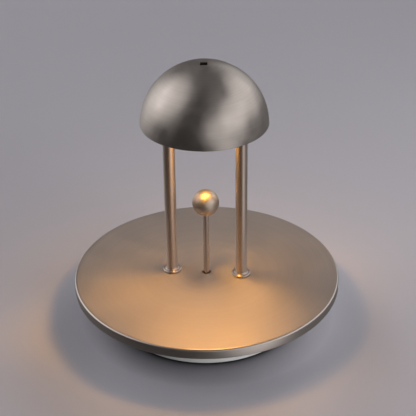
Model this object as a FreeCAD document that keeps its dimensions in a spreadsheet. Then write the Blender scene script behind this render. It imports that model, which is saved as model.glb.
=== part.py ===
import FreeCAD, Part
import math
import os
import re
import Sketcher
from FreeCAD import Placement, Rotation, Vector

# Table lamp with a magnetically centred ball lever, modelled piece by piece.
# The origin is on the table under the lamp's axis, +Z is up, the two posts lie along X
# and -Y is the front. Lengths are in millimetres and angles in degrees.

os.makedirs("parts", exist_ok=True)
doc = FreeCAD.newDocument("balance_lamp")

SIZES = {
    # Gaps and fits
    "press_gap": 0.02,
    "running_gap": 0.06,
    "seat_gap": 0.1,
    "shell_gap": 0.2,
    # White base
    "foot_inset": 4,
    "foot_thickness": 1.2,
    "base_plate_thickness": 2.5,
    "housing_diameter": 172,
    "housing_height": 38.3,
    "housing_wall": 2.6,
    "housing_chamfer": 1.4,
    "housing_edge": 1.5,
    "lever_well_diameter": 20,
    "base_boss_radius": 4,
    "base_boss_inset": 5.4,
    "base_screw_count": 4,
    "base_screw_reach": 11,
    # Ballast
    "ballast_inset": 3.4,
    "ballast_width": 44,
    "ballast_half_angle": 28,
    "ballast_height": 11,
    "ballast_screw_reach": 8,
    # Cells
    "cell_diameter": 18.4,
    "cell_length": 65,
    "cell_spacing": 19.8,
    "cradle_inset": 10.4,
    "cradle_height": 9,
    "cradle_wall": 2.4,
    "cradle_floor": 1.6,
    # Control board and charging port
    "board_width": 40,
    "board_depth": 38,
    "board_overlap": 3.8,
    "board_thickness": 1.6,
    "board_standoff": 4,
    "board_corner": 2,
    "board_hole_ring": 22,
    "board_screw_reach": 3,
    "standoff_radius": 2.8,
    "chip_height": 1.8,
    "port_width": 9,
    "port_height": 3.2,
    "port_corner": 1.45,
    "port_sheet": 0.35,
    "port_length": 9,
    "port_recess": 0.8,
    "port_tongue_width": 6.7,
    "port_tongue_thickness": 0.7,
    # Disc tray
    "tray_diameter": 240,
    "tray_depth": 8.8,
    "tray_sheet": 1.5,
    "tray_edge": 1.7,
    "lever_hole_diameter": 8,
    "lever_hole_chamfer": 0.3,
    "underplate_thickness": 1.2,
    "underplate_screw_ring": 104,
    "underplate_screw_count": 4,
    "underplate_screw_reach": 5,
    "tray_boss_radius": 3.2,
    # Posts
    "post_diameter": 10.5,
    "post_wall": 1,
    "post_spacing": 63.4,
    "post_thread_end": 2,
    "washer_diameter": 19,
    "washer_thickness": 1,
    "post_nut_width": 14,
    "post_nut_height": 5,
    "collar_diameter": 17,
    "collar_height": 4.4,
    "collar_bead": 1.25,
    "collar_bead_turn": 118,
    "collar_flare": 3.4,
    "collar_lip": 0.3,
    # Lamp head
    "dome_diameter": 110,
    "dome_height": 53.9,
    "dome_wall": 1.2,
    "dome_lift": 150.7,
    "dome_rim_edge": 0.4,
    "vent_side": 6.2,
    "vent_turn": 8,
    "plate_depth": 16,
    "plate_thickness": 2,
    "nipple_bore": 5.2,
    "nipple_grip": 9,
    "nipple_stand": 1,
    "top_nut_width": 12,
    "top_nut_height": 3.5,
    "tab_thickness": 1.2,
    "tab_rise": 12,
    "tab_reach": 38,
    "tab_angle": 14,
    "dome_screw_ring": 42,
    "dome_screw_count": 3,
    "dome_screw_reach": 5,
    "bezel_depth": 9,
    "bezel_diameter": 50,
    "bezel_wall": 3.2,
    "bezel_lip": 2,
    "bezel_lip_thickness": 1.2,
    "bezel_edge": 1.5,
    "bezel_screw_count": 3,
    "bezel_screw_reach": 7,
    "diffuser_thickness": 2,
    "sink_width": 22,
    "sink_length": 38,
    "sink_base": 3,
    "sink_fin_height": 11,
    "sink_fin_thickness": 1.2,
    "sink_fin_count": 6,
    "led_board_diameter": 36,
    "led_board_thickness": 1.6,
    "led_chip_side": 3,
    "led_chip_height": 0.7,
    "led_chip_ring": 10,
    "led_chip_count": 8,
    # Ball lever on its gimbal
    "ball_diameter": 24,
    "ball_lift": 72.2,
    "ball_socket": 4,
    "rod_diameter": 5.6,
    "pivot_depth": 14,
    "pin_diameter": 2.5,
    "hub_diameter": 10,
    "hub_height": 9,
    "gimbal_bore": 15,
    "gimbal_wall": 3,
    "gimbal_height": 6,
    "gimbal_gap": 0.5,
    "bracket_width": 38,
    "bracket_sheet": 2,
    "bracket_boss": 4,
    "bracket_boss_radius": 3.2,
    "bracket_hole_diameter": 17,
    "bracket_screw_ring": 21,
    "bracket_screw_count": 4,
    "ear_width": 12,
    "ear_thickness": 2.5,
    "ear_drop": 5,
    "ear_chamfer": 3,
    # Magnetic centring
    "magnet_gap": 2.2,
    "lever_magnet_diameter": 10,
    "lever_magnet_height": 4,
    "cup_wall": 1,
    "cup_floor": 1.5,
    "cup_neck_diameter": 8.4,
    "cup_neck_height": 4,
    "centring_magnet_diameter": 12,
    "centring_magnet_height": 3.4,
    "holder_diameter": 32,
    "holder_rim": 1.4,
    "sensor_board_bore": 15.6,
    # Screws
    "screw_head_radius": 2.6,
    "screw_head_height": 1.5,
    "screw_radius": 1.2,
    "small_screw_head_radius": 1.6,
    "small_screw_head_height": 1,
    "small_screw_radius": 0.8,
    # Lead from the board to the lamp head
    "lead_diameter": 2.4,
    "lead_start_x": -15.5,
    "lead_inset": 1,
    "lead_run_height": 14,
    "lead_crown": 32,
    "lead_end_x": -15.7,
    "lead_bend": 7.5,
}

# Levels and radii that follow from the sizes.
LEVELS = {
    "floor_top": "foot_thickness + base_plate_thickness",
    "deck_top": "foot_thickness + housing_height",
    "deck_under": "deck_top - housing_wall",
    "tray_top": "deck_top + tray_sheet",
    "tray_bottom": "tray_top - tray_depth",
    "housing_radius": "housing_diameter / 2",
    "housing_bore": "housing_radius - housing_wall",
    "base_screw_ring": "housing_bore - base_boss_radius - base_boss_inset",
    "ballast_outer": "housing_bore - ballast_inset",
    "ballast_inner": "ballast_outer - ballast_width",
    "ballast_screw_ring": "(ballast_outer + ballast_inner) / 2",
    "cell_row_y": "cradle_inset + cradle_wall + (cell_spacing + cell_diameter) / 2 - housing_bore",
    "port_mouth": "housing_radius - port_recess",
    "board_y": "port_mouth - port_length + board_overlap - board_depth / 2",
    "tray_radius": "tray_diameter / 2",
    "board_top": "floor_top + board_standoff + board_thickness",
    "cell_height": "cradle_floor + seat_gap + cell_diameter / 2",
    "post_radius": "post_diameter / 2",
    "post_x": "post_spacing / 2",
    "nut_seat": "deck_under - washer_thickness - post_nut_height",
    "post_bottom": "nut_seat - post_thread_end",
    "dome_rim": "tray_top + dome_lift",
    "dome_curve": "((dome_diameter / 2)^2 + dome_height^2) / (2 * dome_height)",
    "dome_drop": "dome_curve - dome_height",
    "inner_curve": "dome_curve - dome_wall",
    "tab_curve": "inner_curve - tab_thickness",
    "plate_level": "plate_depth + plate_thickness",
    "plate_under": "dome_rim + plate_depth",
    "plate_top": "plate_under + plate_thickness",
    "plate_radius": "sqrt(inner_curve^2 - (plate_level + dome_drop)^2) - shell_gap",
    "nipple_radius": "post_radius - post_wall - press_gap",
    "bezel_radius": "bezel_diameter / 2",
    "bezel_screw_ring": "bezel_radius - bezel_wall / 2",
    "diffuser_radius": "bezel_radius - bezel_wall - seat_gap",
    "lens_radius": "bezel_radius - bezel_wall - bezel_lip - seat_gap",
    "lens_crown": "bezel_lip_thickness",
    "pivot": "tray_top - pivot_depth",
    "ball_centre": "tray_top + ball_lift",
    "rod_radius": "rod_diameter / 2",
    "pin_radius": "pin_diameter / 2",
    "gimbal_outer": "gimbal_bore / 2 + gimbal_wall",
    "ear_inner": "gimbal_outer + gimbal_gap",
    "bracket_seat": "deck_under - bracket_boss - pivot",
    "tail": "pivot - floor_top - centring_magnet_height - magnet_gap",
    "magnet_seat": "lever_magnet_height - tail",
    "cup_radius": "lever_magnet_diameter / 2 + press_gap",
    "holder_height": "centring_magnet_height + board_thickness",
    "holder_bore": "centring_magnet_diameter / 2 + seat_gap",
}

sheet = doc.addObject("Spreadsheet::Sheet", "sizes")
for row, (name, value) in enumerate(SIZES.items(), start=1):
    sheet.set(f"A{row}", name)
    sheet.set(f"B{row}", str(value))
    sheet.setAlias(f"B{row}", name)
doc.recompute()

WORD = re.compile(r"[a-z][a-z_]*")
pieces = []
cuts = []


def bound(expression):
    # The expression with each level spelled out and each size pointing at its cell.
    def swap(match):
        word = match.group()
        if word in LEVELS:
            return "(" + WORD.sub(swap, LEVELS[word]) + ")"
        return "sizes." + word if word in SIZES else word

    return WORD.sub(swap, str(expression))


def number(expression):
    return float(sheet.evalExpression(bound(expression)))


def origin_part(body, role):
    return next(feature for feature in body.Origin.OriginFeatures if feature.Role == role)


def new_piece(label, x="0", y="0", z="0", turn=0):
    body = doc.addObject("PartDesign::Body", label)
    body.Label = label
    body.AllowCompound = True
    body.Placement = Placement(Vector(), Rotation(Vector(0, 0, 1), turn))
    for axis, place in zip("xyz", (x, y, z)):
        if place != "0":
            body.setExpression(f"Placement.Base.{axis}", bound(place))
    pieces.append(body)
    return body


def new_sketch(body, plane="XY_Plane", lift="0", shift="0"):
    sketch = body.newObject("Sketcher::SketchObject", "profile")
    sketch.AttachmentSupport = (origin_part(body, plane), [""])
    sketch.MapMode = "FlatFace"
    if shift != "0":
        sketch.setExpression("AttachmentOffset.Base.x", bound(shift))
    if lift != "0":
        sketch.setExpression("AttachmentOffset.Base.z", bound(lift))
    return sketch


def tie(sketch, geometry, point, axis, expression):
    # Holds one coordinate of a point, on its axis or at a bound distance from it.
    if expression == "0":
        line = -2 if axis == "X" else -1
        sketch.addConstraint(Sketcher.Constraint("PointOnObject", geometry, point, line))
        return
    index = sketch.addConstraint(
        Sketcher.Constraint("Distance" + axis, -1, 1, geometry, point, number(expression)))
    sketch.setExpression(f"Constraints[{index}]", bound(expression))


def tie_radius(sketch, geometry, expression):
    index = sketch.addConstraint(Sketcher.Constraint("Radius", geometry, number(expression)))
    sketch.setExpression(f"Constraints[{index}]", bound(expression))


def arc_between(start, end, radius, side):
    # The short arc from start to end, with its centre left (1) or right (-1) of the way.
    way = end - start
    middle = (start + end) * 0.5
    reach = math.sqrt(max(radius ** 2 - way.Length ** 2 / 4, 0))
    left = Vector(-way.y, way.x, 0).normalize()
    centre = middle + left * (side * reach)
    first, last = (start, end) if side > 0 else (end, start)
    first_angle = math.atan2(first.y - centre.y, first.x - centre.x)
    last_angle = math.atan2(last.y - centre.y, last.x - centre.x)
    if last_angle < first_angle:
        last_angle += 2 * math.pi
    return Part.ArcOfCircle(Part.Circle(centre, Vector(0, 0, 1), radius), first_angle, last_angle)


def outline(sketch, corners):
    # A closed outline through (x, y) corners; (x, y, radius, side) starts an arc to the next.
    spots = [Vector(number(corner[0]), number(corner[1]), 0) for corner in corners]
    edges = []
    for index, corner in enumerate(corners):
        start = spots[index]
        end = spots[(index + 1) % len(spots)]
        if len(corner) == 2:
            geometry = sketch.addGeometry(Part.LineSegment(start, end), False)
            edges.append((geometry, 1, 2))
            continue
        arc = arc_between(start, end, number(corner[2]), corner[3])
        geometry = sketch.addGeometry(arc, False)
        edges.append((geometry, 1, 2) if corner[3] > 0 else (geometry, 2, 1))
        tie_radius(sketch, geometry, corner[2])
    for index, (geometry, start, _) in enumerate(edges):
        before, _, end = edges[index - 1]
        sketch.addConstraint(Sketcher.Constraint("Coincident", before, end, geometry, start))
        tie(sketch, geometry, start, "X", corners[index][0])
        tie(sketch, geometry, start, "Y", corners[index][1])


def circle(sketch, radius, x="0", y="0"):
    centre = Vector(number(x), number(y), 0)
    shape = Part.Circle(centre, Vector(0, 0, 1), number(radius))
    geometry = sketch.addGeometry(shape, False)
    tie_radius(sketch, geometry, radius)
    tie(sketch, geometry, 3, "X", x)
    tie(sketch, geometry, 3, "Y", y)


def box_outline(sketch, width, depth, x="0", y="0"):
    corners = [(-1, -1), (1, -1), (1, 1), (-1, 1)]
    outline(sketch, [(f"{x} + {i} * ({width}) / 2", f"{y} + {j} * ({depth}) / 2") for i, j in corners])


def rounded_outline(sketch, width, depth, radius, y="0"):
    # A rectangle with rounded corners, centred on the sketch's vertical axis.
    far_x = f"({width}) / 2"
    far_y = f"({depth}) / 2"
    near_x = f"({far_x} - ({radius}))"
    near_y = f"({far_y} - ({radius}))"
    outline(sketch, [
        (f"-{near_x}", f"{y} - {far_y}"),
        (near_x, f"{y} - {far_y}", radius, 1),
        (far_x, f"{y} - {near_y}"),
        (far_x, f"{y} + {near_y}", radius, 1),
        (near_x, f"{y} + {far_y}"),
        (f"-{near_x}", f"{y} + {far_y}", radius, 1),
        (f"-{far_x}", f"{y} + {near_y}"),
        (f"-{far_x}", f"{y} - {near_y}", radius, 1),
    ])


def hexagon(sketch, width, x):
    # Two of the sides face +Y and -Y.
    corner = f"({width}) / sqrt(3)"
    outline(sketch, [(f"{x} + {corner} * cos({60 * step})", f"{corner} * sin({60 * step})")
                     if step % 3 else (f"{x} + {corner} * cos({60 * step})", "0")
                     for step in range(6)])


def pad(body, sketch, length):
    feature = body.newObject("PartDesign::Pad", "pad")
    feature.Profile = sketch
    feature.setExpression("Length", bound(length))
    body.Tip = feature
    return feature


def cut(body, sketch, length):
    # Cuts along the sketch's own normal, the way a pad grows.
    feature = body.newObject("PartDesign::Pocket", "cut")
    feature.Profile = sketch
    feature.Reversed = True
    feature.setExpression("Length", bound(length))
    body.Tip = feature
    cuts.append(feature)
    return feature


def revolve(body, sketch, angle="360"):
    feature = body.newObject("PartDesign::Revolution", "turned")
    feature.Profile = sketch
    feature.ReferenceAxis = (sketch, ["V_Axis"])
    feature.setExpression("Angle", bound(angle))
    feature.Midplane = angle != "360"
    body.Tip = feature
    return feature


def repeat_round(body, feature, count):
    pattern = body.newObject("PartDesign::PolarPattern", "round")
    pattern.Originals = [feature]
    pattern.Axis = (origin_part(body, "Z_Axis"), [""])
    pattern.Angle = 360
    pattern.setExpression("Occurrences", bound(count))
    body.Tip = pattern
    return pattern


def ring_of(body, make, radius, ring, count, lift, length, turn=0):
    # Round bosses or holes on a circle about the piece's own axis; make is pad or cut.
    sketch = new_sketch(body, lift=lift)
    if turn:
        circle(sketch, radius, f"({ring}) * cos({turn})", f"({ring}) * sin({turn})")
    else:
        circle(sketch, radius, ring)
    return repeat_round(body, make(body, sketch, length), count)


def turned_piece(label, corners, z="0", x="0"):
    body = new_piece(label, x=x, z=z)
    sketch = new_sketch(body, "XZ_Plane")
    outline(sketch, corners)
    revolve(body, sketch)
    return body


def ring_piece(label, outer, inner, height, z="0", x="0", lift="0"):
    # A disc, or a ring where inner isn't "0".
    body = new_piece(label, x=x, z=z)
    sketch = new_sketch(body, lift=lift)
    circle(sketch, outer)
    if inner != "0":
        circle(sketch, inner)
    pad(body, sketch, height)
    return body


def screws(label, ring, count, reach, z, turn=0, y="0", size="screw", points=1):
    # Round-headed screws on a circle; their heads bear at z and they point up (1) or down (-1).
    body = new_piece(label, y=y, z=z, turn=turn)
    sketch = new_sketch(body, "XZ_Plane", shift=ring)
    head = f"{size}_head_radius"
    top = f"{size}_head_height"
    shank = f"{size}_radius"
    outline(sketch, [
        ("0", f"{-points} * {top}"),
        (head, f"{-points} * {top}"),
        (head, "0"),
        (shank, "0"),
        (shank, f"{points} * ({reach})"),
        ("0", f"{points} * ({reach})"),
    ])
    repeat_round(body, revolve(body, sketch), count)
    return body


# White base


def make_foot_pad():
    ring_piece("foot_pad", "housing_radius - foot_inset", "0", "foot_thickness")


def make_base_plate():
    body = ring_piece("base_plate", "housing_bore - shell_gap", "0",
                      "base_plate_thickness", z="foot_thickness")
    standoffs = new_sketch(body, lift="base_plate_thickness")
    for i, j in ((1, 1), (1, -1), (-1, 1), (-1, -1)):
        reach = "board_hole_ring * cos(45)"
        circle(standoffs, "standoff_radius", f"{i} * {reach}", f"board_y + {j} * {reach}")
        circle(standoffs, "small_screw_radius + press_gap", f"{i} * {reach}", f"board_y + {j} * {reach}")
    pad(body, standoffs, "board_standoff")
    for ring, count, turn in (("base_screw_ring", "base_screw_count", 45), ("ballast_screw_ring", "2", 0)):
        ring_of(body, cut, "screw_radius + shell_gap", ring, count, "0", "base_plate_thickness", turn)
        ring_of(body, cut, "screw_head_radius + shell_gap", ring, count, "0", "screw_head_height", turn)


def make_base_housing():
    body = turned_piece("base_housing", [
        ("housing_bore", "0"),
        ("housing_radius - housing_chamfer", "0"),
        ("housing_radius", "housing_chamfer"),
        ("housing_radius", "housing_height - housing_edge", "housing_edge", 1),
        ("housing_radius - housing_edge", "housing_height"),
        ("lever_well_diameter / 2", "housing_height"),
        ("lever_well_diameter / 2", "housing_height - housing_wall"),
        ("housing_bore", "housing_height - housing_wall"),
    ], z="foot_thickness")
    ring_of(body, pad, "base_boss_radius", "base_screw_ring", "base_screw_count",
            "base_plate_thickness", "housing_height - housing_wall - base_plate_thickness", 45)
    ring_of(body, cut, "screw_radius + press_gap", "base_screw_ring", "base_screw_count",
            "base_plate_thickness", "base_screw_reach", 45)
    ring_of(body, pad, "bracket_boss_radius", "bracket_screw_ring", "bracket_screw_count",
            "housing_height - housing_wall - bracket_boss", "bracket_boss", 45)
    ring_of(body, cut, "screw_radius + press_gap", "bracket_screw_ring", "bracket_screw_count",
            "housing_height - housing_wall - bracket_boss", "bracket_boss + housing_wall / 3", 45)
    ring_of(body, cut, "post_radius + seat_gap", "post_x", "2",
            "housing_height - housing_wall", "housing_wall")
    mouth = new_sketch(body, "XZ_Plane", lift="-housing_radius - 1")
    rounded_outline(mouth, "port_width + 2 * shell_gap", "port_height + 2 * shell_gap",
                    "port_corner + shell_gap", "board_top + port_height / 2 - foot_thickness")
    cut(body, mouth, "housing_wall + 2")


def make_ballast():
    body = new_piece("ballast_weights", z="floor_top")
    sketch = new_sketch(body)
    along = "cos(ballast_half_angle)"
    across = "sin(ballast_half_angle)"
    inner = "(ballast_inner)"
    outer = "(ballast_outer)"
    outline(sketch, [
        (f"{inner} * {along}", f"-{inner} * {across}"),
        (f"{outer} * {along}", f"-{outer} * {across}", outer, 1),
        (f"{outer} * {along}", f"{outer} * {across}"),
        (f"{inner} * {along}", f"{inner} * {across}", inner, -1),
    ])
    repeat_round(body, pad(body, sketch, "ballast_height"), "2")
    ring_of(body, cut, "screw_radius + press_gap", "ballast_screw_ring", "2", "0", "ballast_screw_reach")


def make_cells():
    cradle = new_piece("battery_cradle", y="cell_row_y", z="floor_top")
    block = new_sketch(cradle)
    box_outline(block, "cell_length + 2 * (cradle_wall + shell_gap)",
                "cell_spacing + cell_diameter + 2 * cradle_wall")
    pad(cradle, block, "cradle_height")
    grooves = new_sketch(cradle, "YZ_Plane", lift="-cell_length / 2 - shell_gap")
    for side in (-1, 1):
        circle(grooves, "cell_diameter / 2 + seat_gap", f"{side} * cell_spacing / 2", "cell_height")
    cut(cradle, grooves, "cell_length + 2 * shell_gap")
    cells = new_piece("battery_cells", y="cell_row_y", z="floor_top")
    ends = new_sketch(cells, "YZ_Plane", lift="-cell_length / 2")
    for side in (-1, 1):
        circle(ends, "cell_diameter / 2", f"{side} * cell_spacing / 2", "cell_height")
    pad(cells, ends, "cell_length")


def make_control_board():
    board = new_piece("control_board", y="board_y", z="floor_top + board_standoff")
    sheet_outline = new_sketch(board)
    rounded_outline(sheet_outline, "board_width", "board_depth", "board_corner")
    pad(board, sheet_outline, "board_thickness")
    ring_of(board, cut, "small_screw_radius + shell_gap", "board_hole_ring", "4", "0", "board_thickness", 45)
    chips = new_piece("board_chips", y="board_y", z="board_top")
    chip_outlines = new_sketch(chips)
    for width, depth, x, y in ((10, 8, -5, -3), (7, 7, 8, -8), (6, 4, 9, 3), (8, 3, -6, 9)):
        box_outline(chip_outlines, str(width), str(depth), str(x), str(y))
    pad(chips, chip_outlines, "chip_height")


def make_charging_port():
    body = new_piece("charging_port", z="board_top")
    middle = "port_height / 2"
    mouth = "-port_mouth"
    shell = new_sketch(body, "XZ_Plane", lift=mouth)
    rounded_outline(shell, "port_width", "port_height", "port_corner", middle)
    pad(body, shell, "port_length")
    cavity = new_sketch(body, "XZ_Plane", lift=mouth)
    rounded_outline(cavity, "port_width - 2 * port_sheet", "port_height - 2 * port_sheet",
                    "port_corner - port_sheet", middle)
    cut(body, cavity, "port_length - 2")
    tongue = new_sketch(body, "XZ_Plane", lift=f"{mouth} + 1")
    box_outline(tongue, "port_tongue_width", "port_tongue_thickness", "0", middle)
    pad(body, tongue, "port_length - 2")


# Disc tray


def make_tray():
    hole = "lever_hole_diameter / 2"
    body = turned_piece("tray", [
        (hole, "tray_depth - tray_sheet"),
        ("tray_radius - tray_sheet", "tray_depth - tray_sheet"),
        ("tray_radius - tray_sheet", "0"),
        ("tray_radius", "0"),
        ("tray_radius", "tray_depth - tray_edge", "tray_edge", 1),
        ("tray_radius - tray_edge", "tray_depth"),
        (f"{hole} + lever_hole_chamfer", "tray_depth"),
        (hole, "tray_depth - lever_hole_chamfer"),
    ], z="tray_bottom")
    ring_of(body, cut, "post_radius + seat_gap", "post_x", "2", "tray_depth - tray_sheet", "tray_sheet")
    ring_of(body, pad, "tray_boss_radius", "underplate_screw_ring", "underplate_screw_count",
            "underplate_thickness", "tray_depth - tray_sheet - underplate_thickness", 45)
    ring_of(body, cut, "screw_radius + press_gap", "underplate_screw_ring", "underplate_screw_count",
            "underplate_thickness", "underplate_screw_reach", 45)


def make_underplate():
    body = ring_piece("tray_underplate", "tray_radius - tray_sheet - shell_gap",
                      "housing_radius + shell_gap", "underplate_thickness", z="tray_bottom")
    ring_of(body, cut, "screw_radius + shell_gap", "underplate_screw_ring", "underplate_screw_count",
            "0", "underplate_thickness", 45)


# Posts


def make_posts():
    bore = "post_radius + press_gap"
    bead = "collar_diameter / 2 - collar_bead"
    for side, sign in (("left", "-"), ("right", "")):
        ring_piece(f"{side}_post", "post_radius", "post_radius - post_wall",
                   "plate_under - post_bottom", z="post_bottom", x=f"{sign}post_x")
        turned_piece(f"{side}_collar", [
            (bore, "0"),
            (bead, "0", "collar_bead", 1),
            ("collar_diameter / 2", "collar_bead", "collar_bead", 1),
            (f"{bead} + collar_bead * cos(collar_bead_turn)",
             "collar_bead + collar_bead * sin(collar_bead_turn)", "collar_flare", -1),
            (f"{bore} + collar_lip", "collar_height"),
            (bore, "collar_height"),
        ], z="tray_top", x=f"{sign}post_x")


def paired_rings(label, height, z, inner, outer=None, hexagon_width=None):
    # The same washer, nut or nipple on each of the two posts.
    body = new_piece(label, z=z)
    sketch = new_sketch(body)
    if outer:
        circle(sketch, outer, "post_x")
    else:
        hexagon(sketch, hexagon_width, "post_x")
    circle(sketch, inner, "post_x")
    repeat_round(body, pad(body, sketch, height), "2")


def make_post_fixings():
    paired_rings("post_washers", "washer_thickness", "deck_under - washer_thickness",
                 "post_radius + press_gap", outer="washer_diameter / 2")
    paired_rings("post_nuts", "post_nut_height", "nut_seat",
                 "post_radius + press_gap", hexagon_width="post_nut_width")
    paired_rings("post_nipples", "nipple_grip + plate_thickness + top_nut_height + nipple_stand",
                 "plate_under - nipple_grip", "nipple_bore / 2", outer="nipple_radius")
    paired_rings("top_nuts", "top_nut_height", "plate_top",
                 "nipple_radius + press_gap", hexagon_width="top_nut_width")


# Lamp head


def make_head_plate():
    body = ring_piece("head_plate", "plate_radius", "0", "plate_thickness", z="plate_under")
    for radius, ring, count, turn in (
            ("nipple_radius + seat_gap", "post_x", "2", 0),
            ("screw_radius + shell_gap", "dome_screw_ring", "dome_screw_count", 90),
            ("small_screw_radius + shell_gap", "bezel_screw_ring", "bezel_screw_count", 90),
            ("lead_diameter / 2 + shell_gap", "lead_end_x", "1", 0)):
        ring_of(body, cut, radius, ring, count, "0", "plate_thickness", turn)


def make_dome():
    body = turned_piece("dome_shade", [
        ("sqrt(inner_curve^2 - dome_drop^2)", "0"),
        ("dome_diameter / 2 - dome_rim_edge", "0"),
        ("dome_diameter / 2", "dome_rim_edge"),
        ("sqrt(dome_curve^2 - (dome_drop + 2 * dome_rim_edge)^2)", "2 * dome_rim_edge", "dome_curve", 1),
        ("0", "dome_height"),
        ("0", "dome_height - dome_wall", "inner_curve", -1),
    ], z="dome_rim")
    vent = new_sketch(body, lift="dome_height - 3 * dome_wall")
    vent.setExpression("AttachmentOffset.Rotation.Angle", bound("vent_turn"))
    box_outline(vent, "vent_side", "vent_side")
    cut(body, vent, "4 * dome_wall")


def make_dome_tabs():
    body = new_piece("dome_tabs", z="dome_rim", turn=90)
    sketch = new_sketch(body, "XZ_Plane")
    foot_top = "(plate_level + tab_thickness)"
    tab_top = "(plate_level + tab_rise)"
    outline(sketch, [
        ("tab_reach", "plate_level"),
        ("sqrt(inner_curve^2 - (plate_level + dome_drop)^2)", "plate_level", "inner_curve", 1),
        (f"sqrt(inner_curve^2 - ({tab_top} + dome_drop)^2)", tab_top),
        (f"sqrt(tab_curve^2 - ({tab_top} + dome_drop)^2)", tab_top, "tab_curve", -1),
        (f"sqrt(tab_curve^2 - ({foot_top} + dome_drop)^2)", foot_top),
        ("tab_reach", foot_top),
    ])
    repeat_round(body, revolve(body, sketch, "tab_angle"), "dome_screw_count")
    ring_of(body, cut, "screw_radius + press_gap", "dome_screw_ring", "dome_screw_count",
            "plate_level", "tab_thickness")


def make_light():
    ring_piece("led_board", "led_board_diameter / 2", "0", "led_board_thickness",
               z="plate_under - led_board_thickness")
    chips = new_piece("led_chips", z="plate_under - led_board_thickness - led_chip_height")
    chip = new_sketch(chips)
    box_outline(chip, "led_chip_side", "led_chip_side", "led_chip_ring", "0")
    repeat_round(chips, pad(chips, chip, "led_chip_height"), "led_chip_count")
    bore = "bezel_radius - bezel_wall"
    bezel = turned_piece("lamp_bezel", [
        (f"{bore} - bezel_lip", "0"),
        ("bezel_radius - bezel_edge", "0", "bezel_edge", 1),
        ("bezel_radius", "bezel_edge"),
        ("bezel_radius", "bezel_depth"),
        (bore, "bezel_depth"),
        (bore, "bezel_lip_thickness"),
        (f"{bore} - bezel_lip", "bezel_lip_thickness"),
    ], z="plate_under - bezel_depth")
    reach = "bezel_screw_reach - plate_thickness"
    ring_of(bezel, cut, "small_screw_radius + press_gap", "bezel_screw_ring", "bezel_screw_count",
            f"bezel_depth - ({reach})", reach, 90)
    turned_piece("diffuser", [
        ("0", "0", "(lens_radius^2 + lens_crown^2) / (2 * lens_crown)", 1),
        ("lens_radius", "lens_crown"),
        ("diffuser_radius", "lens_crown"),
        ("diffuser_radius", "lens_crown + diffuser_thickness"),
        ("0", "lens_crown + diffuser_thickness"),
    ], z="plate_under - bezel_depth")


def make_heat_sink():
    body = new_piece("heat_sink", z="plate_top")
    base = new_sketch(body)
    box_outline(base, "sink_width", "sink_length")
    pad(body, base, "sink_base")
    fin = new_sketch(body, lift="sink_base")
    box_outline(fin, "sink_fin_thickness", "sink_length", "-(sink_width - sink_fin_thickness) / 2", "0")
    fins = body.newObject("PartDesign::LinearPattern", "fins")
    fins.Originals = [pad(body, fin, "sink_fin_height")]
    fins.Direction = (origin_part(body, "X_Axis"), [""])
    fins.setExpression("Length", bound("sink_width - sink_fin_thickness"))
    fins.setExpression("Occurrences", bound("sink_fin_count"))
    body.Tip = fins


# Ball lever and its gimbal


def make_bracket():
    body = new_piece("lever_bracket", z="pivot")
    flange = new_sketch(body, lift="bracket_seat - bracket_sheet")
    box_outline(flange, "bracket_width", "bracket_width")
    circle(flange, "bracket_hole_diameter / 2")
    pad(body, flange, "bracket_sheet")
    ear = new_sketch(body, "YZ_Plane", lift="ear_inner")
    half = "ear_width / 2"
    outline(ear, [
        (f"-({half} - ear_chamfer)", "-ear_drop"),
        (f"{half} - ear_chamfer", "-ear_drop"),
        (half, "ear_chamfer - ear_drop"),
        (half, "bracket_seat - bracket_sheet"),
        (f"-{half}", "bracket_seat - bracket_sheet"),
        (f"-{half}", "ear_chamfer - ear_drop"),
    ])
    repeat_round(body, pad(body, ear, "ear_thickness"), "2")
    pin_bore = new_sketch(body, "YZ_Plane", lift="-bracket_width / 2")
    circle(pin_bore, "pin_radius + running_gap")
    cut(body, pin_bore, "bracket_width")
    ring_of(body, cut, "screw_radius + shell_gap", "bracket_screw_ring", "bracket_screw_count",
            "bracket_seat - bracket_sheet", "bracket_sheet", 45)


def cross_hole(body, plane, radius, reach):
    sketch = new_sketch(body, plane, lift=f"-({reach})")
    circle(sketch, radius)
    cut(body, sketch, f"2 * ({reach})")


def make_gimbal():
    ring = ring_piece("gimbal_ring", "gimbal_outer", "gimbal_bore / 2", "gimbal_height",
                      z="pivot", lift="-gimbal_height / 2")
    cross_hole(ring, "YZ_Plane", "pin_radius + press_gap", "gimbal_outer")
    cross_hole(ring, "XZ_Plane", "pin_radius + running_gap", "gimbal_outer")
    pins = new_piece("gimbal_pins", z="pivot")
    stub = new_sketch(pins, "YZ_Plane", lift="gimbal_bore / 2 + shell_gap")
    circle(stub, "pin_radius")
    reach = "gimbal_wall + gimbal_gap + ear_thickness"
    repeat_round(pins, pad(pins, stub, reach), "2")


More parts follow.
